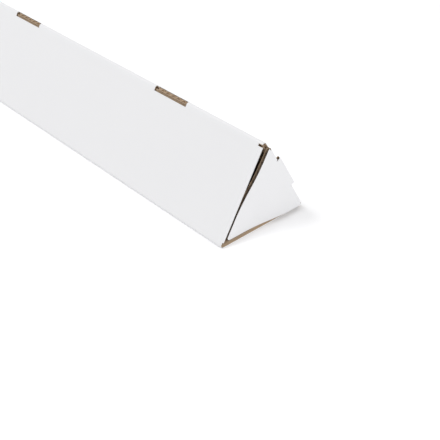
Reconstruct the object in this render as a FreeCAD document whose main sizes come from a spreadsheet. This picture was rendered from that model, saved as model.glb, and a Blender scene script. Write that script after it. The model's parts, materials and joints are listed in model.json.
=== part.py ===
import FreeCAD, Part
import Sketcher
import math
import os

# A triangular cardboard mailing tube, folded from one die-cut sheet of corrugated board.
# It lies along Y with its bottom panel on Z = 0 and the middle of that panel's outside at the origin.
# "Left" is -X, "right" is +X, and the front end is the one at -Y. Sizes are in millimetres, angles in degrees.

SIZES = [
    ("inner_side", 76.2, "inside width of each of the three panels"),
    ("board", 3.0, "thickness of the corrugated board"),
    ("tube_length", 616.0, "overall length, over the two end flaps"),
    ("fold_radius", 2.2, "outside radius of the long folds"),
    ("snug", 0.3, "gap between boards that lie face to face"),
    ("slot_length", 38.0, "length of a slot in the ridge"),
    ("slot_pitch", 203.2, "distance between the slots' middles"),
    ("slot_count", 3, "number of slots in the ridge"),
    ("slot_left", 6.0, "how far a slot reaches down the left panel"),
    ("slot_right", 10.6, "how far a slot reaches down the right panel"),
    ("tab_gap_front", 0.5, "play between a tab and its slot's front end"),
    ("tab_gap_rear", 3.0, "play between a tab and its slot's rear end"),
    ("tab_sink", 1.8, "how far a tab's edge stays under the sharp ridge"),
    ("tab_inset", 0.5, "depth of a tab's face under the right panel's face"),
    ("tab_straight", 6.8, "where a tab's bend ends, down from the ridge"),
    ("tab_bend", 10.3, "where a tab's bend starts, down from the ridge"),
    ("lock_setback", 8.0, "how far the lock panel's ends stay behind the other panels' ends"),
    ("crease_gap", 0.6, "gap between the right panel's end and the closed flap"),
    ("crease_radius", 1.5, "outside radius of the end creases, where the board is crushed"),
    ("tongue_start", 22.6, "where the tongue starts, down from the ridge"),
    ("tongue_length", 32.2, "length of the tongue along the crease"),
    ("tongue_reach", 2.7, "how far the tongue stands out over the right panel's face"),
    ("tongue_play", 0.6, "play round the tongue in the right panel's notch"),
    ("relief_depth", 3.6, "depth of the relief notch at the ridge's end"),
    ("relief_drop", 5.6, "how far the relief notch reaches down the left panel"),
    ("dust_depth", 22.0, "depth of a dust flap"),
    ("dust_fold", 150.0, "angle that a dust flap is folded in by"),
    ("dust_margin", 5.6, "how far a dust flap's root stays from the panel's two edges"),
    ("dust_taper", 7.0, "how much each side of a dust flap slants in"),
    ("flap_inset", 4.6, "distance from the left panel's face to the flap's cut edge"),
    ("flap_play", 0.6, "gap between the flap's lower edge and the bottom panel"),
    ("flap_dip", 3.9, "how much deeper the flap's free side lies than its crease"),
    ("flap_flat", 7.0, "width of the flat strip beside the flap's crease"),
    ("flap_sweep", 46.0, "width of the flap's curved stretch"),
    ("flap_corner", 2.0, "radius of the flap's cut corners"),
    ("ear_depth", 15.0, "depth of the flap's tuck ear"),
    ("ear_lift", 9.0, "angle that the tuck ear rises by"),
    ("ear_right", 12.0, "where the ear's root ends, right of the tube's middle"),
    ("ear_left", 24.0, "where the ear's root ends, left of the tube's middle"),
    ("ear_taper", 5.0, "how much each side of the ear slants in"),
    ("ear_seat", 2.4, "how deep the right end of the ear's root lies behind the flap's crease"),
]

# Sizes that follow from the ones above. The apex is the sharp point where the ridge's two faces would meet.
WORKED_OUT = [
    ("side", "inner_side + 2 * sqrt(3) * board", "outside width of each panel, to the sharp corners"),
    ("apex", "side * sqrt(3) / 2", "height of the sharp ridge"),
    ("flap_plane", "tube_length / 2", "distance of each closed flap's face from the middle"),
    ("panel_end", "flap_plane - board - crease_gap", "distance of each panel's cut end from the middle"),
    ("lock_face", "board + snug", "depth of the lock panel's face under the right panel's"),
    ("lock_top", "(2 * board + 1.5 * snug) / cos(30)", "lock panel's top edge, down from the ridge"),
    ("tab_lean", "atan((lock_face - tab_inset) / (tab_bend - tab_straight))", "how much a tab leans out"),
    ("tab_mitre", "board * tan(tab_lean / 2)", "shift of the bends on a tab's inner face"),
    ("tab_length", "slot_length - tab_gap_front - tab_gap_rear", "length of a tab"),
    ("sweep_radius", "(flap_sweep ^ 2 + flap_dip ^ 2) / (4 * flap_dip)", "radius of the flap's two curves"),
    ("sweep_turn", "asin(flap_sweep / (2 * sweep_radius))", "steepest slope of the flap's curved stretch"),
    ("flap_floor", "board + flap_play", "height of the flap's lower edge"),
    ("edge_run", "apex / cos(30)", "length of a panel from the ridge to the bottom's plane"),
]


def make_sheet(doc):
    """Lists the driving sizes, and under them the sizes worked out from them."""
    sheet = doc.addObject("Spreadsheet::Sheet", "Sizes")
    rows = SIZES + [(name, "=" + formula, note) for name, formula, note in WORKED_OUT]
    for row, (name, content, note) in enumerate(rows, start=1):
        sheet.set(f"A{row}", name)
        sheet.set(f"B{row}", str(content))
        sheet.setAlias(f"B{row}", name)
        sheet.set(f"C{row}", note)
    doc.recompute()


def with_sheet(formula):
    """Puts the sheet's name before each of its aliases, so that another object can read the formula."""
    names = {row[0] for row in SIZES + WORKED_OUT}
    words, word = [], ""
    for letter in formula + " ":
        if letter.isalnum() or letter == "_":
            word += letter
            continue
        words.append(f"Sizes.{word}" if word in names else word)
        words.append(letter)
        word = ""
    return "".join(words).strip()


def number(feature, formula):
    """The value that a formula has now, as a plain number."""
    found = feature.evalExpression(with_sheet(formula))
    return float(getattr(found, "Value", found))


def bind(feature, prop, formula):
    feature.setExpression(prop, with_sheet(formula))


def role(body, name):
    """The body's own origin plane or axis of that name."""
    return next(item for item in body.Origin.OriginFeatures if item.Role == name)


def new_body(doc, label):
    body = doc.addObject("PartDesign::Body", label)
    body.Label = label
    return body


def new_sketch(body, name, plane, place="placement(vector(0; 0; 0); rotation(0; 0; 0))"):
    sketch = body.newObject("Sketcher::SketchObject", name)
    sketch.AttachmentSupport = [(role(body, plane), "")]
    sketch.MapMode = "FlatFace"
    bind(sketch, "AttachmentOffset", place)
    return sketch


def arc_through(start, finish, radius, bulge):
    """The short arc between two points. It bulges to the left of the way from start to finish, or right if -1."""
    chord = finish - start
    middle = (start + finish) * 0.5
    left = FreeCAD.Vector(-chord.y, chord.x, 0).normalize()
    rise = radius - math.sqrt(radius ** 2 - chord.Length ** 2 / 4)
    top = middle + left * (rise * bulge)
    # A sketch wants its arcs counterclockwise, and one that bulges to the left runs clockwise.
    return Part.Arc(finish, top, start) if bulge > 0 else Part.Arc(start, top, finish)


def hold_point(sketch, segment, end, across, up):
    """Fixes one end of a segment at its two formulas, measured from the sketch's origin."""
    for kind, axis, formula in (("DistanceX", -2, across), ("DistanceY", -1, up)):
        if formula == "0":
            sketch.addConstraint(Sketcher.Constraint("PointOnObject", segment, end, axis))
            continue
        rule = Sketcher.Constraint(kind, -1, 1, segment, end, number(sketch, formula))
        bind(sketch, f"Constraints[{sketch.addConstraint(rule)}]", formula)


def outline(sketch, corners):
    """Draws a closed outline. A corner is its two formulas, then (radius, bulge) if an arc leaves it."""
    spots = [FreeCAD.Vector(number(sketch, corner[0]), number(sketch, corner[1]), 0) for corner in corners]
    ends = []
    for place, corner in enumerate(corners):
        start, finish = spots[place], spots[(place + 1) % len(spots)]
        if len(corner) == 3:
            radius, bulge = corner[2]
            segment = sketch.addGeometry(arc_through(start, finish, number(sketch, radius), bulge))
            rule = Sketcher.Constraint("Radius", segment, number(sketch, radius))
            bind(sketch, f"Constraints[{sketch.addConstraint(rule)}]", radius)
        else:
            segment = sketch.addGeometry(Part.LineSegment(start, finish))
        starts_here = sketch.Geometry[segment].StartPoint.distanceToPoint(start) < 1e-4
        ends.append((segment, 1, 2) if starts_here else (segment, 2, 1))
    for place, corner in enumerate(corners):
        before = ends[place - 1]
        segment, start_end, _ = ends[place]
        sketch.addConstraint(Sketcher.Constraint("Coincident", before[0], before[2], segment, start_end))
        hold_point(sketch, segment, start_end, corner[0], corner[1])


def extrude(body, kind, name, sketch, length=None, both_ways=False, backwards=False):
    """Pads or pockets a sketch, by a length or right through."""
    feature = body.newObject("PartDesign::" + kind, name)
    feature.Profile = sketch
    feature.Reversed = backwards
    feature.SideType = "Symmetric" if both_ways else "One side"
    if length is None:
        feature.Type = "ThroughAll"
    else:
        bind(feature, "Length", length)
    body.Document.recompute()
    return feature


def row_of(body, name, feature):
    """Repeats a feature along the tube, once for each slot."""
    pattern = body.newObject("PartDesign::LinearPattern", name)
    pattern.Originals = [feature]
    pattern.Direction = (role(body, "Y_Axis"), [""])
    bind(pattern, "Length", "slot_pitch * (slot_count - 1)")
    bind(pattern, "Occurrences", "slot_count")
    body.Tip = pattern
    body.Document.recompute()
    return pattern


def both_ends(body, name, features):
    """Mirrors features of the front end to the rear end."""
    mirror = body.newObject("PartDesign::Mirrored", name)
    mirror.Originals = features
    mirror.MirrorPlane = (role(body, "XZ_Plane"), [""])
    body.Tip = mirror
    body.Document.recompute()
    return mirror


def on_right(down, out):
    """A point beside the right panel: down from the ridge along its face, and out from that face."""
    return (f"({down}) * sin(30) + ({out}) * cos(30)", f"apex - ({down}) * cos(30) + ({out}) * sin(30)")


def on_left(down, out):
    """The same beside the left panel."""
    return (f"0 - ({down}) * sin(30) - ({out}) * cos(30)", f"apex - ({down}) * cos(30) + ({out}) * sin(30)")


def wrap_outline():
    """The left, bottom and right panels, seen along the tube. The bottom one ends inside the lock panel's fold."""
    fold = "fold_radius / tan(30)"
    free_edge = "edge_run - board * tan(30) - snug"
    lock_corner = "side / 2 - lock_face / cos(30) - 1.5 * board / tan(30)"
    return [
        on_right(free_edge, "0"),
        on_right(fold, "0") + (("fold_radius", -1),),
        on_left(fold, "0"),
        on_left(f"edge_run - {fold}", "0") + (("fold_radius", -1),),
        (f"{fold} - side / 2", "0"),
        (lock_corner, "0"),
        (lock_corner, "board"),
        ("0 - inner_side / 2", "board"),
        ("0", "apex - 2 * board"),
        on_right(free_edge, "0 - board"),
    ]


def lock_outline():
    """The lock panel and the fold that joins it to the bottom panel."""
    corner = "side / 2 - lock_face / cos(30)"
    fold = "fold_radius / tan(30)"
    overlap = "side / 2 - lock_face / cos(30) - 2 * board / tan(30)"
    run = "edge_run - lock_face * tan(30)"
    return [
        (overlap, "0"),
        (f"{corner} - {fold}", "0") + (("fold_radius", -1),),
        on_right(f"{run} - {fold}", "0 - lock_face"),
        on_right("lock_top", "0 - lock_face"),
        on_right("lock_top", "0 - lock_face - board"),
        (f"{corner} - board / tan(30)", "board"),
        (overlap, "board"),
    ]


def slot_outline():
    """What a slot takes out of the ridge: the tops of both outer panels."""
    above = "2 * board"
    return [
        on_left("slot_left", "0 - board"),
        on_left("slot_left", above),
        on_right("0 - board", above),
        on_right("slot_right", above),
        on_right("slot_right", "0 - board"),
    ]


def lock_notch_outline():
    """What is cut out of the lock panel's top, where a tab leaves it."""
    return [
        on_right("lock_top - snug / 2", "0 - lock_face - board - snug / 2"),
        on_right("lock_top - snug / 2", "snug / 2 - lock_face"),
        on_right("tab_bend + board / 2", "snug / 2 - lock_face"),
        on_right("tab_bend + board / 2", "0 - lock_face - board - snug / 2"),
    ]


def tab_outline():
    """A lock tab: it leaves the lock panel, leans out through the slot and ends at the ridge."""
    root = "tab_bend + board"
    return [
        on_right(root, "0 - lock_face"),
        on_right("tab_bend", "0 - lock_face"),
        on_right("tab_straight", "0 - tab_inset"),
        on_right("tab_sink", "0 - tab_inset"),
        on_right("tab_sink", "0 - tab_inset - board"),
        on_right("tab_straight - tab_mitre", "0 - tab_inset - board"),
        on_right("tab_bend - tab_mitre", "0 - lock_face - board"),
        on_right(root, "0 - lock_face - board"),
    ]


def across_tube(along):
    """Places a sketch of the tube's section at a distance along the tube. The section's normal is -Y."""
    return f"placement(vector(0; 0; 0 - ({along})); rotation(0; 0; 0))"


def make_panels(body):
    sketch = new_sketch(body, "wrap_section", "XZ_Plane")
    outline(sketch, wrap_outline())
    extrude(body, "Pad", "wrap", sketch, "2 * panel_end", both_ways=True)
    slot = new_sketch(body, "slot_section", "XZ_Plane", across_tube("0 - slot_pitch * (slot_count - 1) / 2"))
    outline(slot, slot_outline())
    row_of(body, "slots", extrude(body, "Pocket", "slot", slot, "slot_length", both_ways=True))


def make_lock(body):
    sketch = new_sketch(body, "lock_section", "XZ_Plane")
    outline(sketch, lock_outline())
    extrude(body, "Pad", "lock_panel", sketch, "2 * (panel_end - lock_setback)", both_ways=True)
    middle = "(tab_gap_front - tab_gap_rear) / 2 - slot_pitch * (slot_count - 1) / 2"
    notch = new_sketch(body, "lock_notch_section", "XZ_Plane", across_tube(middle))
    outline(notch, lock_notch_outline())
    cut = extrude(body, "Pocket", "lock_notch", notch, "tab_length + 2 * snug", both_ways=True)
    row_of(body, "lock_notches", cut)
    tab = new_sketch(body, "tab_section", "XZ_Plane", across_tube(middle))
    outline(tab, tab_outline())
    row_of(body, "lock_tabs", extrude(body, "Pad", "lock_tab", tab, "tab_length", both_ways=True))


def make_dust_crease(body):
    """Rounds the left panel's end where the dust flap turns in. Its section reads inset, then depth."""
    place = (
        "placement(vector(dust_margin * sin(30) - side / 2; 0 - panel_end; dust_margin * cos(30)); "
        "rotation(0; 30; 0))"
    )
    start = ("crease_radius * (1 - cos(dust_fold))", "crease_radius * (1 - sin(dust_fold))")
    sketch = new_sketch(body, "dust_crease_section", "XY_Plane", place)
    outline(sketch, [
        ("0", "crease_radius", ("crease_radius", -1)),
        start,
        (f"{start[0]} + board * sin(dust_fold)", f"{start[1]} - board * cos(dust_fold)"),
        (f"{start[0]} + board * sin(dust_fold)", "0 - board"),
        ("0 - board", "0 - board"),
        ("0 - board", "crease_radius"),
    ])
    return extrude(body, "Pocket", "dust_crease", sketch, "side - 2 * dust_margin", backwards=True)


def make_dust_leaf(body):
    """The left panel's own end flap, folded in behind the main flap."""
    inset = "crease_radius * (1 - cos(dust_fold))"
    place = (
        f"placement(vector({inset} * cos(30) - side / 2; crease_radius * (1 - sin(dust_fold)) - panel_end; "
        f"0 - {inset} * sin(30)); rotation(0; 0 - 60; dust_fold - 180))"
    )
    sketch = new_sketch(body, "dust_leaf_outline", "XY_Plane", place)
    outline(sketch, [
        ("dust_margin", "0"),
        ("side - dust_margin", "0"),
        ("side - dust_margin - dust_taper", "dust_depth"),
        ("dust_margin + dust_taper", "dust_depth"),
    ])
    return extrude(body, "Pad", "dust_leaf", sketch, "board")


def make_end_cuts(body):
    """The notch that the tongue leaves in the right panel, the relief at the ridge, and the rounded left end."""
    notch = new_sketch(body, "tongue_notch_outline", "XZ_Plane", across_tube("0 - panel_end"))
    outline(notch, [
        on_right("tongue_start - tongue_play", "0 - board - snug / 2"),
        on_right("tongue_start - tongue_play", "board"),
        on_right("tongue_start + tongue_length + tongue_play", "board"),
        on_right("tongue_start + tongue_length + tongue_play", "0 - board - snug / 2"),
    ])
    tongue = extrude(body, "Pocket", "tongue_notch", notch, "tongue_reach", backwards=False)
    relief = new_sketch(body, "relief_outline", "XZ_Plane", across_tube("0 - panel_end"))
    outline(relief, [
        on_left("relief_drop", "0 - board - snug"),
        on_left("relief_drop", "board"),
        on_left("0 - board", "board"),
        on_right("fold_radius / 2", "board"),
        on_right("fold_radius / 2", "0 - board - snug"),
    ])
    ridge = extrude(body, "Pocket", "relief", relief, "relief_depth", backwards=False)
    return [tongue, ridge]


def make_shell(doc):
    body = new_body(doc, "tube_shell")
    make_panels(body)
    make_lock(body)
    both_ends(body, "end_cuts", make_end_cuts(body) + [make_dust_crease(body)])
    both_ends(body, "dust_flaps", [make_dust_leaf(body)])
    return body


def flap_outline():
    """The end flap seen from in front: two cut edges, and its crease on the right."""
    round_cut = "flap_corner / tan(30)"
    top = "flap_inset / cos(30)"
    foot = "(apex - flap_floor) / cos(30)"
    left_foot = "(apex - flap_floor - flap_inset / 2) / cos(30)"
    return [
        on_right(f"{top} + {round_cut}", "0") + (("flap_corner", -1),),
        on_left(f"flap_inset * tan(30) + {round_cut}", "0 - flap_inset"),
        on_left(f"{left_foot} - {round_cut}", "0 - flap_inset") + (("flap_corner", -1),),
        (f"flap_inset * cos(30) - ({left_foot}) / 2 + {round_cut}", "flap_floor"),
        (f"({foot}) / 2 - {round_cut}", "flap_floor", ("flap_corner", -1)),
        on_right(f"{foot} - {round_cut}", "0"),
    ]


def flap_front_outline():
    """The air in front of the flap: its face runs flat from the crease, sweeps in and runs flat again."""
    return [
        ("0 - flap_flat", "0"),
        ("0 - flap_flat", "0 - board"),
        ("0 - side", "0 - board"),
        ("0 - side", "flap_dip"),
        ("0 - flap_flat - flap_sweep", "flap_dip", ("sweep_radius", 1)),
        ("0 - flap_flat - flap_sweep / 2", "flap_dip / 2", ("sweep_radius", -1)),
    ]


def flap_back_outline():
    """The air behind the flap, one board's thickness behind its face."""
    return [
        ("0 - flap_flat", "board"),
        ("board", "board"),
        ("board", "flap_dip + 2 * board"),
        ("0 - side", "flap_dip + 2 * board"),
        ("0 - side", "flap_dip + board"),
        ("0 - flap_flat - flap_sweep", "flap_dip + board", ("sweep_radius + board", 1)),
        (
            "0 - flap_flat - (sweep_radius - board) * sin(sweep_turn)",
            "sweep_radius - (sweep_radius - board) * cos(sweep_turn)",
            ("sweep_radius - board", -1),
        ),
    ]


def flap_crease_outline():
    """What the rounding takes off the flap's corner at the crease."""
    return [
        ("0", "crease_radius", ("crease_radius", 1)),
        ("0 - crease_radius", "0"),
        ("0 - crease_radius", "0 - board"),
        ("board", "0 - board"),
        ("board", "crease_radius"),
    ]


def make_tongue(body):
    """The tongue at the crease: it was cut out of the right panel and stands out in the flap's own plane."""
    sketch = new_sketch(body, "tongue_outline", "XZ_Plane")
    outline(sketch, [
        on_right("tongue_start", "0 - board"),
        on_right("tongue_start + tongue_length", "0 - board"),
        on_right("tongue_start + tongue_length", "tongue_reach"),
        on_right("tongue_start", "tongue_reach"),
    ])
    return extrude(body, "Pad", "tongue", sketch, "board", backwards=True)


def make_ear(body):
    """The tuck ear on the flap's lower edge. It lies over the bottom panel and rises a little inwards."""
    sketch = new_sketch(body, "ear_outline", "XY_Plane",
                        "placement(vector(0; 0; flap_floor); rotation(0; 0; ear_lift))")
    outline(sketch, [
        ("ear_right", "ear_seat"),
        ("ear_right - ear_taper", "flap_dip + ear_depth"),
        ("ear_taper - ear_left", "flap_dip + ear_depth"),
        ("0 - ear_left", "flap_dip + board / 2"),
    ])
    return extrude(body, "Pad", "ear", sketch, "board")


def make_front_flap(doc):
    body = new_body(doc, "front_end_flap")
    face = new_sketch(body, "flap_outline", "XZ_Plane")
    outline(face, flap_outline())
    extrude(body, "Pad", "flap_block", face, "flap_dip + board", backwards=True)
    beside_crease = "placement(vector(side / 2; 0; 0); rotation(0; 0 - 30; 0))"
    cuts = [
        ("flap_front", flap_front_outline()),
        ("flap_back", flap_back_outline()),
        ("flap_crease", flap_crease_outline()),
    ]
    for name, corners in cuts:
        section = new_sketch(body, name + "_section", "XY_Plane", beside_crease)
        outline(section, corners)
        extrude(body, "Pocket", name, section, "2 * side", both_ways=True)
    make_tongue(body)
    make_ear(body)
    bind(body, "Placement", "placement(vector(0; 0 - flap_plane; 0); rotation(0; 0; 0))")
    return body


def make_rear_flap(doc, front):
    flap = doc.addObject("Part::Mirroring", "rear_end_flap")
    flap.Label = "rear_end_flap"
    flap.Source = front
    flap.Normal = FreeCAD.Vector(0, 1, 0)
    return flap


def check(doc, pieces):
    """Stops if a feature failed, or if a piece isn't one good solid."""
    for item in doc.Objects:
        if "Invalid" in item.State or "Error" in item.State:
            raise RuntimeError(f"{item.Label} failed: {item.State}")
    for piece in pieces:
        shape = piece.Shape
        if shape.isNull() or not shape.isValid() or len(shape.Solids) != 1:
            raise RuntimeError(f"{piece.Label} isn't one good solid")


def main():
    doc = FreeCAD.newDocument("MailingTube")
    make_sheet(doc)
    shell = make_shell(doc)
    front = make_front_flap(doc)
    rear = make_rear_flap(doc, front)
    doc.recompute()
    pieces = [shell, front, rear]
    check(doc, pieces)
    os.makedirs("parts", exist_ok=True)
    for piece in pieces:
        piece.Shape.exportStep(f"parts/{piece.Label}.step")
        box = piece.Shape.BoundBox
        print(piece.Label, round(piece.Shape.Volume), "mm3", box)


main()
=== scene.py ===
import bpy
import json
import math
from mathutils import Matrix, Vector

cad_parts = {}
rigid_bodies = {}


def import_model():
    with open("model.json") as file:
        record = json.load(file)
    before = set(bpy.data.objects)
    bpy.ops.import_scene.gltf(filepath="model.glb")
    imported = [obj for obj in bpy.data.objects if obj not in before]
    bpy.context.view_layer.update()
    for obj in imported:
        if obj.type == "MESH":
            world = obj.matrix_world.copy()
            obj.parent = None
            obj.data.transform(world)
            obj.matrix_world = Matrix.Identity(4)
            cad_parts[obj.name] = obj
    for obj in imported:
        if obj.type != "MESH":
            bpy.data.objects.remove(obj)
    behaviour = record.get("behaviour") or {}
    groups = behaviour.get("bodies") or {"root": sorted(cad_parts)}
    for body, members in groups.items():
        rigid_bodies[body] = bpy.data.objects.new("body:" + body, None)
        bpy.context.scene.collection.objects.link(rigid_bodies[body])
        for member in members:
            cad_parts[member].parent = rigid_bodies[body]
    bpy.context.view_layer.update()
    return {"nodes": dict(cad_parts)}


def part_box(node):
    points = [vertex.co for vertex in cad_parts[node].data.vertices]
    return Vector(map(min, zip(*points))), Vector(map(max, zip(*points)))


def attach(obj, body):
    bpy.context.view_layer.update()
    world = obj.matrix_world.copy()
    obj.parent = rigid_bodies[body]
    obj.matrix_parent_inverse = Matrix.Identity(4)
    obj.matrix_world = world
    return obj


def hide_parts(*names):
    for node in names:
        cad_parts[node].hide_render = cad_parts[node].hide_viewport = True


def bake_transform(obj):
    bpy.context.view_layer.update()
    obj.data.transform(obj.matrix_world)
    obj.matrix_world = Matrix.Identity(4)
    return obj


# A triangular mailing tube of white-lined corrugated board, in metres and in the part's own frame.
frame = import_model()
print("frame loaded:", sorted(frame["nodes"]))

mm = 0.001

# The board, as it is bought: a white top liner, a fluted middle and a brown inside liner.
board = {
    "thickness": 3.0 * mm,
    "innerSide": 76.2 * mm,      # inside width of a panel
    "liner": 0.3 * mm,
    "medium": 0.26 * mm,         # paper thickness of the fluted middle
    "flutes": 96,                # along the tube
    "steps": 8,                  # rows of faces in one flute
    "foldRadius": 2.2 * mm,
    "foldDepth": 2.65 * mm,      # of the crushed middle, under the sharp corner of a fold
    "between": 0.3 * mm,         # gap between boards that lie face to face
}
tiny = 0.02 * mm

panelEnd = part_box("tube_shell")[1].y                    # distance of a panel's cut end from the middle
flapFace = -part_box("front_end_flap")[0].y               # distance of a closed flap's face from the middle
side = board["innerSide"] + 2 * math.sqrt(3) * board["thickness"]
apex = side * math.sqrt(3) / 2                          # height of the sharp ridge
flutePitch = 2 * panelEnd / board["flutes"]
slope = math.radians(60)                                # of the left and right panels
rightOut = Vector((math.sin(slope), 0, math.cos(slope)))
leftOut = Vector((-math.sin(slope), 0, math.cos(slope)))
ridgeTop = Vector((0, 0, apex))
upPanel = Vector((math.cos(slope), 0, math.sin(slope)))


# Shader helpers: a Wire is a socket that Python's own arithmetic works on.
class Wire:
    def __init__(self, tree, socket):
        self.tree, self.socket = tree, socket

    def maths(self, operation, *others):
        made = self.tree.nodes.new("ShaderNodeMath")
        made.operation = operation
        for place, value in enumerate((self,) + others):
            plug(self.tree, value, made.inputs[place])
        return Wire(self.tree, made.outputs[0])

    def __add__(self, other):
        return self.maths("ADD", other)

    def __rsub__(self, other):
        return Wire.maths(fixed(self.tree, other), "SUBTRACT", self)

    def __mul__(self, other):
        return self.maths("MULTIPLY", other)


def fixed(tree, number):
    made = tree.nodes.new("ShaderNodeValue")
    made.outputs[0].default_value = number
    return Wire(tree, made.outputs[0])


def plug(tree, value, socket):
    if isinstance(value, Wire):
        tree.links.new(value.socket, socket)
    else:
        socket.default_value = value


class Paint:
    def __init__(self, name):
        self.material = bpy.data.materials.new(name)
        self.material.use_nodes = True
        self.tree = self.material.node_tree
        self.tree.nodes.clear()

    def node(self, kind, settings=None, sockets=None, out=0):
        made = self.tree.nodes.new("ShaderNode" + kind)
        for name, value in (settings or {}).items():
            setattr(made, name, value)
        for name, value in (sockets or {}).items():
            plug(self.tree, value, made.inputs[name])
        return Wire(self.tree, made.outputs[out])

    def mix(self, factor, first, second, blend="MIX"):
        sockets = {0: factor, 6: first, 7: second}
        return self.node("Mix", {"data_type": "RGBA", "blend_type": blend}, sockets, out=2)

    def noise(self, scale, detail=4.0, roughness=0.5, stretch=(1, 1, 1)):
        place = self.node("TexCoord", out=3)
        stretched = self.node("Mapping", {}, {"Vector": place, "Scale": stretch})
        sockets = {"Vector": stretched, "Scale": scale, "Detail": detail, "Roughness": roughness}
        return self.node("TexNoise", {}, sockets)

    def finish(self, sockets):
        surface = self.node("BsdfPrincipled", {}, sockets)
        self.output(surface)
        return self.material

    def output(self, surface):
        made = self.tree.nodes.new("ShaderNodeOutputMaterial")
        self.tree.links.new(surface.socket, made.inputs["Surface"])


whiteLook = {
    "colour": (0.87, 0.87, 0.88),
    "mottled": (0.845, 0.845, 0.857),
    "roughness": 0.62,
    "patches": 9.0,              # noise scales, in turns over a metre
    "grain": 1400.0,
    "bump": 0.05,
}
bumpDepth = 0.0002               # of the papers' grain, in metres


def paintWhiteBoard(name):
    paint = Paint(name)
    patches = paint.noise(whiteLook["patches"], detail=5)
    grain = paint.noise(whiteLook["grain"], detail=3)
    colour = paint.mix(patches, (*whiteLook["colour"], 1), (*whiteLook["mottled"], 1))
    bump = paint.node("Bump", {}, {"Height": grain, "Strength": whiteLook["bump"], "Distance": bumpDepth})
    return paint.finish({"Base Color": colour, "Roughness": whiteLook["roughness"], "Normal": bump})


whiteBoard = paintWhiteBoard("white_board")

kraftLook = {
    "inside": (0.53, 0.40, 0.28),
    "medium": (0.56, 0.42, 0.29),
    "fibre": (0.45, 0.33, 0.22),
    # painted shade: a darker kraft for the flaps' fluting, so their cut edge in the narrow gap at the flap's
    # left reads as dark as the shadow there
    "shade": (0.20, 0.14, 0.09),
    "paintedShadeFibre": (0.15, 0.105, 0.07),
    "roughness": 0.85,
    "strands": 260.0,
    "stretch": (1, 0.2, 1),      # of the strands, along the tube
    "grain": 1800.0,
    "bump": 0.12,
}


def paintKraft(name, colour, fibre):
    paint = Paint(name)
    strands = paint.noise(kraftLook["strands"], detail=6, roughness=0.7, stretch=kraftLook["stretch"])
    shade = paint.mix(strands, (*colour, 1), (*fibre, 1))
    grain = paint.noise(kraftLook["grain"], detail=3)
    bump = paint.node("Bump", {}, {"Height": grain, "Strength": kraftLook["bump"], "Distance": bumpDepth})
    return paint.finish({"Base Color": shade, "Roughness": kraftLook["roughness"], "Normal": bump})


kraftInside = paintKraft("kraft_inside", kraftLook["inside"], kraftLook["fibre"])
kraftMedium = paintKraft("kraft_medium", kraftLook["medium"], kraftLook["fibre"])
# Painted shade: the flaps' fluting gets this darker kraft, standing in for the shadow in the narrow gap
# beside the left panel.
kraftPaintedShade = paintKraft("kraft_painted_shade", kraftLook["shade"], kraftLook["paintedShadeFibre"])
print("board painted")


# Hand tools for the mesh work.
def pick(piece):
    if bpy.context.mode != "OBJECT":
        leave()
    bpy.ops.object.select_all(action="DESELECT")
    piece.select_set(True)
    bpy.context.view_layer.objects.active = piece


def edit(piece, kind="VERT", wanted=None):
    pick(piece)
    bpy.ops.object.mode_set(mode="EDIT")
    bpy.ops.mesh.select_mode(type=kind)
    if wanted is None:
        bpy.ops.mesh.select_all(action="SELECT")
        return
    bpy.ops.mesh.select_all(action="DESELECT")
    bpy.ops.object.mode_set(mode="OBJECT")
    for item in piece.data.vertices if kind == "VERT" else piece.data.polygons:
        item.select = wanted(item)
    bpy.ops.object.mode_set(mode="EDIT")


def leave():
    bpy.ops.object.mode_set(mode="OBJECT")


def apply(piece, kind, **settings):
    pick(piece)
    modifier = piece.modifiers.new(kind.lower(), kind)
    for name, value in settings.items():
        setattr(modifier, name, value)
    bpy.ops.object.modifier_apply(modifier=modifier.name)


def turnTo(piece, matrix):
    pick(piece)
    piece.matrix_world = matrix
    bpy.ops.object.transform_apply(location=True, rotation=True, scale=True)


def joined(name, pieces):
    pick(pieces[0])
    for piece in pieces:
        piece.select_set(True)
    bpy.ops.object.join()
    pieces[0].name = name
    return pieces[0]


def mirrored(piece, name):
    twin = piece.copy()
    twin.data = piece.data.copy()
    twin.name = name
    bpy.context.scene.collection.objects.link(twin)
    edit(twin)
    bpy.ops.transform.resize(value=(1, -1, 1), center_override=(0, 0, 0))
    bpy.ops.mesh.flip_normals()
    leave()
    return twin


def smooth(piece, degrees):
    pick(piece)
    bpy.ops.object.shade_smooth_by_angle(angle=math.radians(degrees))


def dress(piece, body, slot, *paints):
    piece.data.materials.clear()
    for paint in paints:
        piece.data.materials.append(paint)
    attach(piece, body)


def solidOf(nodeName, pieceName):
    piece = bpy.data.objects.new(pieceName, frame["nodes"][nodeName].data.copy())
    bpy.context.scene.collection.objects.link(piece)
    piece.data.materials.clear()
    edit(piece)
    bpy.ops.mesh.remove_doubles(threshold=0.005 * mm)
    bpy.ops.mesh.customdata_custom_splitnormals_clear()
    leave()
    return piece


# What tells a solid's paper from its cut edges.
sorting = {
    "reach": 1.35,               # board thicknesses behind a face, within which it is paper
    "near": 0.1 * mm,            # off a fold's own rounding
    "scrap": 1.3 * mm ** 2,      # area of the small cut faces beside a dust flap
    "scrapReach": 2 * mm,        # how far those lie from the two ends of its root
    "flat": 0.3,                 # degrees between faces that are made one
    "leans": 0.3,                # share of a normal, from which a face leans to a side
    "faces": 0.9,                # from which it faces that side
    "square": 0.999,             # from which it lies square to it
    "panel": 0.9999,             # from which it is a panel's own face
    "across": 0.01,              # up to which it doesn't turn to that side at all
}
smoothness = {"liner": 25, "fluting": 60}


# A face with the board's thickness right behind it is paper, and any other is a cut edge.
def isThin(piece, face):
    start = face.center - face.normal * tiny
    return piece.ray_cast(start, -face.normal, distance=sorting["reach"] * board["thickness"])[0]


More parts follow.
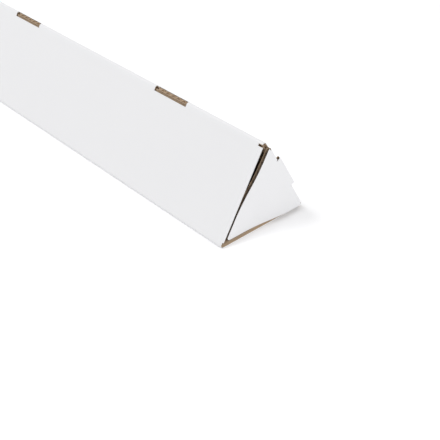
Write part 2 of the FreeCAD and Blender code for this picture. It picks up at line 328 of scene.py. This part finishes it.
# Leaves only the paper of a solid, and splits it into the outside and the inside skins.
def skinsOf(solid, isPaper, isOutside, spread):
    cut = [not isPaper(solid, face) for face in solid.data.polygons]
    edit(solid, "FACE", lambda face: cut[face.index])
    bpy.ops.mesh.delete(type="FACE")
    leave()
    edit(solid, "FACE", isOutside)
    if spread:
        bpy.ops.mesh.select_linked()
    bpy.ops.mesh.separate(type="SELECTED")
    leave()
    outside = next(item for item in bpy.context.selected_objects if item != solid)
    return outside, solid


def makeLiner(skin, name):
    skin.name = name
    edit(skin)
    bpy.ops.mesh.dissolve_limited(angle_limit=math.radians(sorting["flat"]))
    leave()
    apply(skin, "SOLIDIFY", thickness=board["liner"], offset=-1, use_even_offset=True,
          material_offset=1, material_offset_rim=1)
    return skin


# The fluted middle is made flat: its flutes run along X, and the board's outside is at z = 0.
def waveHeight(along):
    swing = board["thickness"] / 2 - board["liner"] - board["medium"] / 2 + tiny
    return board["thickness"] / 2 + swing * math.cos(2 * math.pi * along / flutePitch)


def flutedSheet(name, low, high, flutes):
    steps = board["steps"]
    bpy.ops.object.select_all(action="DESELECT")
    bpy.ops.mesh.primitive_grid_add(x_subdivisions=1, y_subdivisions=steps, size=1)
    sheet = bpy.context.object
    sheet.name = name
    edit(sheet)
    bpy.ops.transform.resize(value=(high - low, flutePitch, 1), center_override=(0, 0, 0))
    bpy.ops.transform.translate(value=((low + high) / 2, 0, 0))
    for row in range(steps + 1):
        along = (row / steps - 0.5) * flutePitch
        edit(sheet, "VERT", lambda vertex: abs(vertex.co.y - along) < tiny)
        bpy.ops.transform.translate(value=(0, 0, waveHeight(along)))
    leave()
    apply(sheet, "ARRAY", count=flutes, use_relative_offset=False, use_constant_offset=True,
          constant_offset_displace=(0, flutePitch, 0), use_merge_vertices=True, merge_threshold=tiny)
    edit(sheet)
    bpy.ops.transform.translate(value=(0, -(flutes - 1) / 2 * flutePitch, 0))
    leave()
    return sheet


def slit(sheet, place, normal, **clear):
    edit(sheet)
    bpy.ops.mesh.bisect(plane_co=place, plane_no=normal, **clear)
    leave()


# Folds what lies to the right of a line on the sheet, or to the left of it where the angle is negative.
def fold(sheet, place, degrees):
    full = board["thickness"] / math.tan(slope / 2)       # from here on the flutes keep their height
    for line in (place - full, place, place + full):
        slit(sheet, (line, 0, 0), (1, 0, 0))
    pivot = (place, 0, 0)
    edit(sheet, "VERT", lambda vertex: abs(vertex.co.x - place) < tiny)
    bpy.ops.transform.resize(value=(1, 1, 0), center_override=(place, 0, board["foldDepth"]))
    bpy.ops.transform.rotate(value=math.radians(degrees / 2), orient_axis="Y", center_override=pivot)
    hand = math.copysign(1, degrees)
    edit(sheet, "VERT", lambda vertex: hand * (vertex.co.x - place) > tiny)
    bpy.ops.transform.rotate(value=math.radians(degrees), orient_axis="Y", center_override=pivot)
    leave()


# Gives the sheet its paper thickness and trims it to the board's own outline.
def trimTo(sheet, solid):
    apply(sheet, "SOLIDIFY", thickness=board["medium"], offset=0)
    apply(sheet, "BOOLEAN", operation="INTERSECT", solver="EXACT", object=solid)
    return sheet


# The tube itself: three panels, the lock panel inside them, its tabs, and a dust flap at each end.
shell = {
    "slotPitch": 203.2 * mm,
    "slotLength": 38 * mm,
    "reliefDepth": 3.6 * mm,
    "tabMiddle": -1.25 * mm,     # of a tab, from its slot's middle
    "tabLength": 34.5 * mm,
    "tabTop": 1.8 * mm,          # down from the sharp ridge
    "tabStraight": 6.8 * mm,
    "tabBend": 10.3 * mm,
    "tabRoot": 11.8 * mm,
    "tabInset": 0.5 * mm,        # of a tab's face, under the right panel's
    "tabFlutes": 8,
    "dustRadius": 1.5 * mm,
    "dustFold": 150,
    "dustMargin": 5.6 * mm,      # how far its root stays from the panel's two edges
    "rootClear": 1.8 * mm,       # of fluting, at its rounded root
    "rootDepth": 5 * mm,         # of what its root takes of the panel's end
    "dustFlutes": 5,
    "overlap": 2 * mm,           # how far a raw sheet passes the edge that it is trimmed to
}
lockDepth = board["thickness"] + board["between"]        # of the lock panel's face, under the right panel's
lockCorner = side / 2 - lockDepth / math.sin(slope)      # where its fold's two faces would meet
foldRun = board["foldRadius"] / math.tan(slope / 2)
foldAxes = [
    Vector((0, 0, apex - 2 * board["foldRadius"])),
    Vector((foldRun - side / 2, 0, board["foldRadius"])),
    Vector((lockCorner - foldRun, 0, board["foldRadius"])),
]
slotPlaces = [place * shell["slotPitch"] for place in (-1, 0, 1)]


# How far up the left panel a face lies, from the panel's sharp foot.
def rootPlace(face):
    return face.center.x * upPanel.x + face.center.z * upPanel.z + side / 2 * upPanel.x


def isOnRoot(face):
    return shell["dustMargin"] < rootPlace(face) < side - shell["dustMargin"]


# The left panel's end, where its white liner goes round into the dust flap.
def isDustCrease(face):
    radius = shell["dustRadius"]
    inset = -(face.center - ridgeTop).dot(leftOut) - radius
    depth = panelEnd - abs(face.center.y) - radius
    isAcross = abs(face.normal.dot(upPanel)) < sorting["across"]
    return isOnRoot(face) and isAcross and abs(math.hypot(inset, depth) - radius) < sorting["near"]


# The small cut faces at the two ends of a dust flap's root.
def isRootScrap(face):
    along, margin = rootPlace(face), shell["dustMargin"]
    fromEnd = min(abs(along - margin), abs(along + margin - side))
    if fromEnd > sorting["scrapReach"] or abs(face.center.y) < panelEnd - shell["rootDepth"]:
        return False
    return face.area < sorting["scrap"] or abs(face.normal.dot(upPanel)) > sorting["square"]


# Behind a fold the board is deeper, so there a face's own place tells.
def isShellPaper(piece, face):
    if isRootScrap(face):
        return False
    if max(abs(face.normal.dot(out)) for out in (rightOut, leftOut, Vector((0, 0, 1)))) > sorting["panel"]:
        return True
    if isDustCrease(face):
        return True
    spot = Vector((face.center.x, 0, face.center.z))
    inSlot = any(abs(face.center.y - place) < shell["slotLength"] / 2 for place in slotPlaces)
    atEnd = abs(face.center.y) > panelEnd - shell["reliefDepth"]
    inRelief = atEnd and face.normal.x < -sorting["leans"] and spot.z > apex / 2
    isAcross = abs(face.normal.y) < sorting["across"]
    for axis in foldAxes:
        if isAcross and abs((spot - axis).length - board["foldRadius"]) < sorting["near"]:
            return not inSlot and not inRelief
    return isThin(piece, face)


# The left panel's fluting stops short of the dust flaps' rounded roots.
def isOverRoot(face):
    inset = -(face.center - ridgeTop).dot(leftOut)
    return 0 < inset < board["thickness"] and isOnRoot(face)


def makeShellFluting(solid):
    low = -1.5 * side - side - shell["overlap"]
    high = lockCorner + side - lockDepth * math.tan(math.pi / 2 - slope)
    high -= (2 * board["thickness"] + 1.5 * board["between"]) / math.sin(slope)
    wrap = flutedSheet("tube_fluting", low, high, board["flutes"] + 2)
    fold(wrap, lockCorner, 120)
    fold(wrap, -1.5 * side, -120)
    fold(wrap, -side / 2, -120)
    for hand in (-1, 1):
        edit(wrap, "FACE", isOverRoot)
        place = (0, hand * (panelEnd - shell["rootClear"]), 0)
        bpy.ops.mesh.bisect(plane_co=place, plane_no=(0, hand, 0), clear_outer=True)
        leave()
    trimTo(wrap, solid)
    return joined("tube_fluting", [wrap] + makeTabFluting() + makeDustFluting(solid))


# A tab leaves the lock panel, leans out and ends flush with the right panel.
def makeTabFluting():
    tabs = []
    for place in slotPlaces:
        tab = flutedSheet("tab_fluting", -shell["tabRoot"], -shell["tabTop"], shell["tabFlutes"])
        middle = round(place / flutePitch - 0.5) * flutePitch + flutePitch / 2
        slit(tab, (-shell["tabStraight"], 0, 0), (1, 0, 0))
        slit(tab, (-shell["tabBend"], 0, 0), (1, 0, 0))
        edit(tab, "VERT", lambda vertex: vertex.co.x > -shell["tabStraight"] - tiny)
        bpy.ops.transform.translate(value=(0, 0, shell["tabInset"]))
        edit(tab, "VERT", lambda vertex: vertex.co.x < -shell["tabBend"] + tiny)
        bpy.ops.transform.translate(value=(0, 0, lockDepth))
        edit(tab)
        bpy.ops.transform.translate(value=(0, middle, 0))
        leave()
        start = place + shell["tabMiddle"] - shell["tabLength"] / 2
        slit(tab, (0, start, 0), (0, 1, 0), clear_inner=True)
        slit(tab, (0, start + shell["tabLength"], 0), (0, 1, 0), clear_outer=True)
        turnTo(tab, Matrix.Translation(ridgeTop) @ Matrix.Rotation(math.radians(-120), 4, "Y"))
        apply(tab, "SOLIDIFY", thickness=board["medium"], offset=0)
        tabs.append(tab)
    return tabs


# The left panel's own end flaps are folded right in, behind the closed end flaps.
def makeDustFluting(solid):
    turn = math.radians(shell["dustFold"])
    radius = shell["dustRadius"]
    leaf = flutedSheet("dust_fluting", 0, side, shell["dustFlutes"])
    inwards = Vector((0, -math.cos(turn), 0)) - leftOut * math.sin(turn)
    across = upPanel.cross(inwards)
    corner = Vector((-side / 2, -panelEnd, 0)) - leftOut * radius * (1 - math.cos(turn))
    corner += Vector((0, radius * (1 - math.sin(turn)), 0)) + inwards * shell["dustFlutes"] * flutePitch / 2
    placed = Matrix((upPanel, inwards, across)).transposed().to_4x4()
    turnTo(leaf, Matrix.Translation(corner) @ placed)
    trimTo(leaf, solid)
    return [leaf, mirrored(leaf, "rear_dust_fluting")]


def isUnderside(face):
    return face.normal.z < -sorting["square"] and face.center.z < tiny


def makeShell():
    solid = solidOf("tube_shell", "tube_solid")
    fluting = makeShellFluting(solid)
    outside, inside = skinsOf(solid, isShellPaper, isUnderside, True)
    makeLiner(outside, "tube_white_liner")
    makeLiner(inside, "tube_inside_liner")
    for piece in (outside, inside):
        smooth(piece, smoothness["liner"])
    smooth(fluting, smoothness["fluting"])
    dress(outside, "tube", "white_board", whiteBoard, kraftInside)
    dress(inside, "tube", "kraft_edge", kraftInside)
    dress(fluting, "tube", "kraft_edge", kraftMedium)
    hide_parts("tube_shell")


makeShell()
print("tube made")


# An end flap: it turns on the right panel's end, bellies in and carries a tongue and a tuck ear.
flap = {
    "creaseRadius": 1.5 * mm,
    "creaseTop": 8.8 * mm,       # down from the sharp ridge
    "tongueTop": 22.0 * mm,
    "tongueFoot": 55.4 * mm,
    "creaseFoot": 79.0 * mm,
    "creaseRows": 6,             # in its rounding
    "creaseSteps": (1, 0.8, 0.6),  # rows before its rounding, as shares of the gap to the tube
    "flat": 7 * mm,              # beside the crease
    "sweep": 46 * mm,
    "dip": 3.9 * mm,
    "floor": 3.6 * mm,
    "flutes": 16,
    "tongueReach": 2.7 * mm,
    "earLeft": -24 * mm,
    "earRight": 12 * mm,
    "earLift": 9,
    "earFlutes": 12,
}


def flapDepth(fromCrease):
    radius = (flap["sweep"] ** 2 + flap["dip"] ** 2) / (4 * flap["dip"])
    run = min(max(fromCrease - flap["flat"], 0), flap["sweep"])
    if run < flap["sweep"] / 2:
        return radius - math.sqrt(radius ** 2 - run ** 2)
    return flap["dip"] - radius + math.sqrt(radius ** 2 - (flap["sweep"] - run) ** 2)


# In the flap's own frame X runs up its crease, Y out past it and Z into the tube.
flapFrame = Matrix((Vector((-math.cos(slope), 0, math.sin(slope))), rightOut, Vector((0, 1, 0)))).transposed()
flapPlace = Matrix.Translation(ridgeTop + Vector((0, -flapFace, 0))) @ flapFrame.to_4x4()


def pastCrease(point):
    return (point - ridgeTop).dot(rightOut)


def isFlapPaper(piece, face):
    isAtCrease = pastCrease(face.center) > -flap["creaseRadius"] - tiny
    isUnder = face.normal.z < -sorting["square"]
    atFold = isUnder and flap["earLeft"] < face.center.x < flap["earRight"]
    if isAtCrease and abs(face.normal.y) < sorting["square"]:
        return False
    return face.normal.y < -sorting["faces"] or atFold or isThin(piece, face)


def makeFlapFluting(solid):
    plate = flutedSheet("flap_fluting", -side, 0, flap["flutes"])
    reach = flap["tongueReach"] + shell["overlap"]
    for vertex in plate.data.vertices:
        vertex.co.y += reach - flap["flutes"] / 2 * flutePitch
        vertex.co.z += flapDepth(-vertex.co.y)
    turnTo(plate, flapPlace)
    trimTo(plate, solid)
    ear = flutedSheet("ear_fluting", -side / 2, side / 2, flap["earFlutes"])
    lift = math.radians(flap["earLift"])
    along = Vector((math.cos(slope), math.sin(slope) * math.cos(lift), math.sin(slope) * math.sin(lift)))
    inwards = Vector((0, -math.sin(lift), math.cos(lift)))
    earFrame = Matrix((along, inwards.cross(along), inwards)).transposed().to_4x4()
    turnTo(ear, Matrix.Translation((0, -flapFace, flap["floor"])) @ earFrame)
    slit(ear, (0, flap["dip"] + board["thickness"] - flapFace, 0), (0, 1, 0), clear_inner=True)
    trimTo(ear, solid)
    return joined("front_flap_fluting", [plate, ear])


# The crease: the white liner bends round from the right panel to the flap, above and below the tongue.
def makeCrease():
    radius, rows = flap["creaseRadius"], flap["creaseRows"]
    gap = flapFace - panelEnd
    spots = [(0, gap * share) for share in flap["creaseSteps"]]
    for row in range(rows + 1):
        turn = math.pi / 2 * row / rows
        spots.append((radius * (math.cos(turn) - 1), radius * (1 - math.sin(turn))))
    strips = []
    for top, foot in ((flap["creaseTop"], flap["tongueTop"]), (flap["tongueFoot"], flap["creaseFoot"])):
        bpy.ops.object.select_all(action="DESELECT")
        bpy.ops.mesh.primitive_grid_add(x_subdivisions=1, y_subdivisions=len(spots) - 1, size=foot - top)
        strip = bpy.context.object
        for vertex in strip.data.vertices:
            row = round((0.5 - vertex.co.y / (foot - top)) * (len(spots) - 1))
            vertex.co.x -= (top + foot) / 2
            vertex.co.y, vertex.co.z = spots[row]
        strips.append(strip)
    crease = joined("front_flap_crease", strips)
    turnTo(crease, flapPlace)
    apply(crease, "SOLIDIFY", thickness=board["liner"], offset=1, use_even_offset=True,
          material_offset=1, material_offset_rim=1)
    return crease


def bendCrease(crease, body):
    dress(crease, body, "white_board", whiteBoard, kraftInside)
    crease.parent = None
    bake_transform(crease)


def isFlapOutside(face):
    return face.normal.y < -sorting["leans"] or face.normal.z < -sorting["faces"]


def makeFlaps():
    solid = solidOf("front_end_flap", "flap_solid")
    fluting = makeFlapFluting(solid)
    slit(solid, (flap["earLeft"], 0, 0), (1, 0, 0))
    slit(solid, (flap["earRight"], 0, 0), (1, 0, 0))
    outside, inside = skinsOf(solid, isFlapPaper, isFlapOutside, False)
    makeLiner(outside, "front_flap_white_liner")
    makeLiner(inside, "front_flap_inside_liner")
    crease = makeCrease()
    for piece in (outside, inside, crease):
        smooth(piece, smoothness["liner"])
    smooth(fluting, smoothness["fluting"])
    front = (outside, inside, fluting)
    rear = [mirrored(piece, piece.name.replace("front", "rear")) for piece in front]
    rearCrease = mirrored(crease, "rear_flap_crease")
    for body, (white, brown, waves) in (("front_flap", front), ("rear_flap", rear)):
        dress(white, body, "white_board", whiteBoard, kraftInside)
        dress(brown, body, "kraft_edge", kraftInside)
        # Painted shade: the flaps' fluting is painted with the darker kraft, so its cut edge in the gap at
        # the flap's left reads dark like shadow.
        dress(waves, body, "kraft_edge", kraftPaintedShade)
    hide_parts("front_end_flap")
    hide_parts("rear_end_flap")
    bendCrease(crease, "front_flap")
    bendCrease(rearCrease, "rear_flap")


makeFlaps()
print("end flaps made")


# The floor: white where it is lit, and it keeps the tube's shadow.
floorLook = {
    "size": 8.0,
    "colour": (0.92, 0.92, 0.93),
    "speck": (0.85, 0.85, 0.85),
    "grain": 300.0,
    "mottle": 0.02,
    "glow": 0.17,
}


def makeFloor():
    bpy.ops.object.select_all(action="DESELECT")
    bpy.ops.mesh.primitive_plane_add(size=floorLook["size"])
    floor = bpy.context.object
    floor.name = "floor"
    paint = Paint("floor")
    rays = paint.tree.nodes.new("ShaderNodeLightPath")
    seen = Wire(paint.tree, rays.outputs["Is Camera Ray"])
    seen = seen.maths("MAXIMUM", Wire(paint.tree, rays.outputs["Is Glossy Ray"]))
    seen = seen.maths("MAXIMUM", Wire(paint.tree, rays.outputs["Is Transmission Ray"]))
    grain = paint.noise(floorLook["grain"])
    tone = paint.mix(grain * floorLook["mottle"], (*floorLook["colour"], 1), (*floorLook["speck"], 1))
    lit = paint.node("BsdfDiffuse", {}, {"Color": tone})
    glow = paint.node("Emission", {}, {"Color": (1, 1, 1, 1), "Strength": seen * floorLook["glow"]})
    both = paint.tree.nodes.new("ShaderNodeAddShader")
    paint.tree.links.new(lit.socket, both.inputs[0])
    paint.tree.links.new(glow.socket, both.inputs[1])
    paint.output(Wire(paint.tree, both.outputs[0]))
    floor.data.materials.append(paint.material)


makeFloor()

# Light and camera
light = {
    "world": 0.6,
    "key": {"place": (-1.5, 0.7, 2.8), "size": 1.2, "power": 34.0},
    "fill": {"place": (0.5, -2.6, 1.4), "size": 1.6, "power": 21.0},
}
cameraLook = {
    "place": Vector((-0.3828, -0.6768, 0.3871)),
    "towards": Vector((0.5488, 0.6005, -0.5815)),
    "lens": 71.53,               # both in millimetres
    "sensor": 36,
}


def makeLamp(name, look):
    lamp = bpy.data.lights.new(name, "AREA")
    lamp.shape = "DISK"
    lamp.size = look["size"]
    lamp.energy = look["power"]
    holder = bpy.data.objects.new(name, lamp)
    bpy.context.scene.collection.objects.link(holder)
    holder.location = look["place"]
    holder.rotation_euler = (-Vector(look["place"])).to_track_quat("-Z", "Y").to_euler()


def makeLight():
    makeLamp("key", light["key"])
    makeLamp("fill", light["fill"])
    world = bpy.data.worlds.new("studio")
    world.use_nodes = True
    tree = world.node_tree
    tree.nodes.clear()
    rays = tree.nodes.new("ShaderNodeLightPath")
    seen = Wire(tree, rays.outputs["Is Camera Ray"])
    seen = seen.maths("MAXIMUM", Wire(tree, rays.outputs["Is Glossy Ray"]))
    seen = seen.maths("MAXIMUM", Wire(tree, rays.outputs["Is Transmission Ray"]))
    strength = seen + (1 - seen) * light["world"]
    background = tree.nodes.new("ShaderNodeBackground")
    plug(tree, strength, background.inputs["Strength"])
    background.inputs["Color"].default_value = (1, 1, 1, 1)
    output = tree.nodes.new("ShaderNodeOutputWorld")
    tree.links.new(background.outputs[0], output.inputs[0])
    bpy.context.scene.world = world


def makeCamera():
    lens = bpy.data.cameras.new("camera")
    lens.lens = cameraLook["lens"]
    lens.sensor_width = lens.sensor_height = cameraLook["sensor"]
    holder = bpy.data.objects.new("camera", lens)
    bpy.context.scene.collection.objects.link(holder)
    holder.location = cameraLook["place"]
    holder.rotation_euler = cameraLook["towards"].to_track_quat("-Z", "Y").to_euler()
    bpy.context.scene.camera = holder


makeLight()
makeCamera()
bpy.context.scene.view_settings.view_transform = "Standard"
print("light and camera set")
